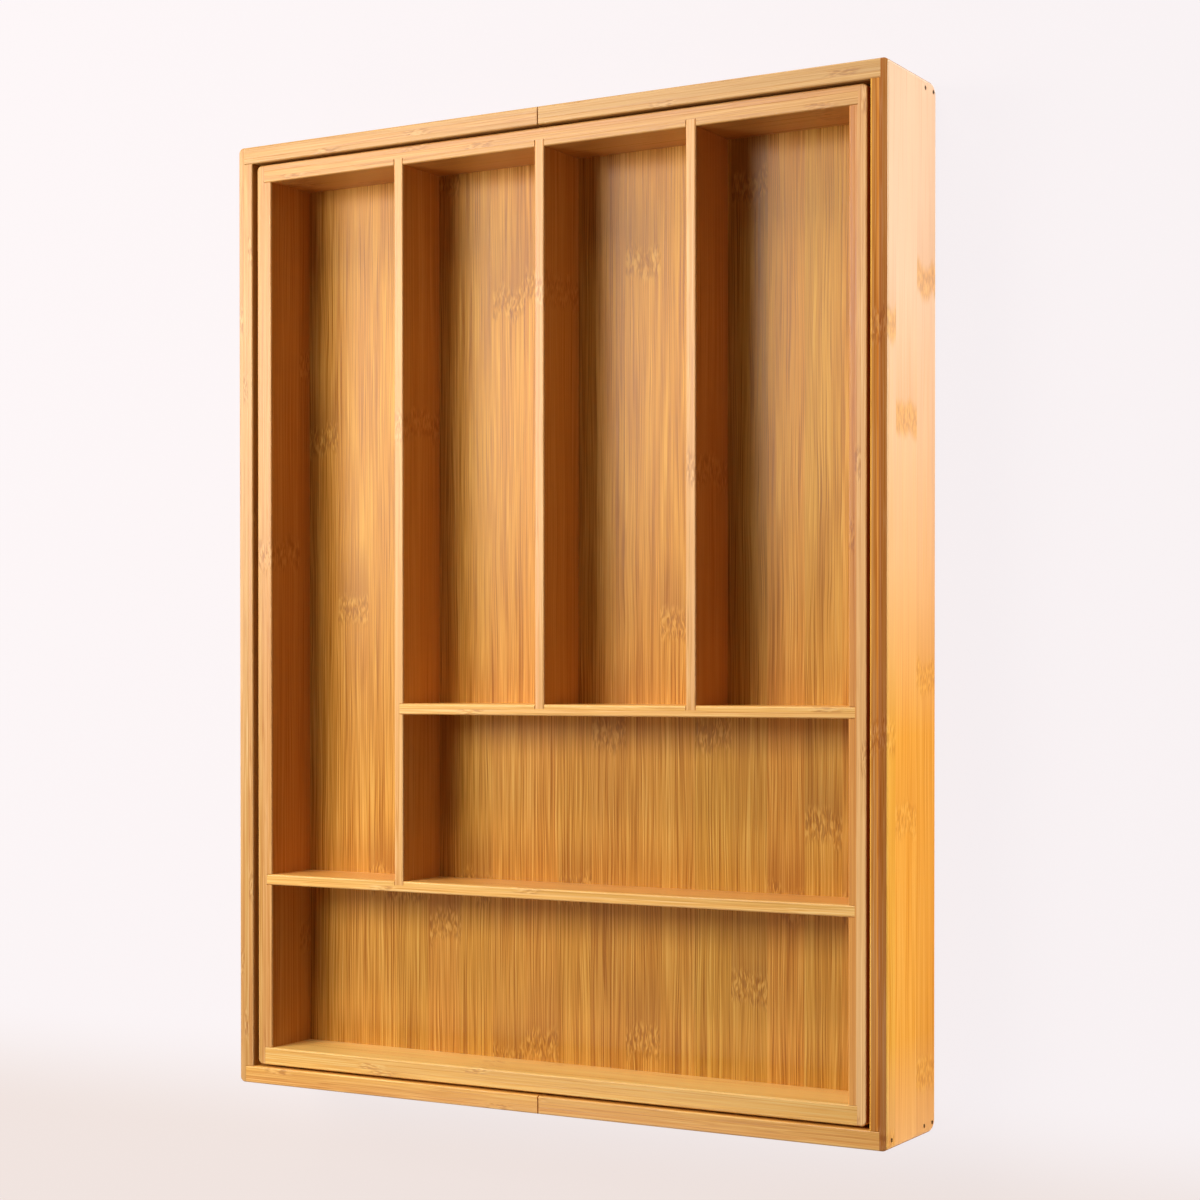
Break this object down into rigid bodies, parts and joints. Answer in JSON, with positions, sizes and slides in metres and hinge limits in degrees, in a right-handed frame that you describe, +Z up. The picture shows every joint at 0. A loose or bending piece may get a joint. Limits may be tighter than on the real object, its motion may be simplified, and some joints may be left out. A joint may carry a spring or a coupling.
{
  "type": "expandable cutlery tray",
  "caption": "Bamboo cutlery tray with lengthwise and crosswise compartments in a fixed centre tray, and two side halves that slide out to widen it.",
  "frame": {"origin": "middle of the closed tray's underside, on the surface it rests on", "axes": "+X to the right, the way the right half slides; +Y to the back, along the long columns; +Z up, out of the compartments"},
  "size_m": [0.33, 0.44, 0.052],
  "materials": {
    "bamboo_wall": "satin clear-coated laminated bamboo",
    "bamboo_divider": "satin clear-coated laminated bamboo",
    "bamboo_floor": "satin clear-coated flat-pressed bamboo",
    "bamboo_runner": "bare laminated bamboo",
    "brad_steel": "dull steel"
  },
  "bodies": {
    "centre": {"centre_left_wall": "bamboo_wall", "centre_right_wall": "bamboo_wall", "centre_back_wall": "bamboo_wall", "centre_front_wall": "bamboo_wall", "centre_floor": "bamboo_floor", "long_divider": "bamboo_divider", "short_divider_middle": "bamboo_divider", "short_divider_right": "bamboo_divider", "upper_cross_divider": "bamboo_divider", "lower_cross_divider": "bamboo_divider"},
    "left_half": {"left_side_wall": "bamboo_wall", "left_back_wall": "bamboo_wall", "left_front_wall": "bamboo_wall", "left_floor": "bamboo_floor", "left_back_runner": "bamboo_runner", "left_front_runner": "bamboo_runner", "left_corner_brads": "brad_steel"},
    "right_half": {"right_side_wall": "bamboo_wall", "right_back_wall": "bamboo_wall", "right_front_wall": "bamboo_wall", "right_floor": "bamboo_floor", "right_back_runner": "bamboo_runner", "right_front_runner": "bamboo_runner", "right_corner_brads": "brad_steel"}
  },
  "joints": [
    {"name": "left_slide", "type": "slide", "parent": "centre", "child": "left_half", "axis": [-1, 0, 0], "range_m": [0, 0.1]},
    {"name": "right_slide", "type": "slide", "parent": "centre", "child": "right_half", "axis": [1, 0, 0], "range_m": [0, 0.1]}
  ]
}
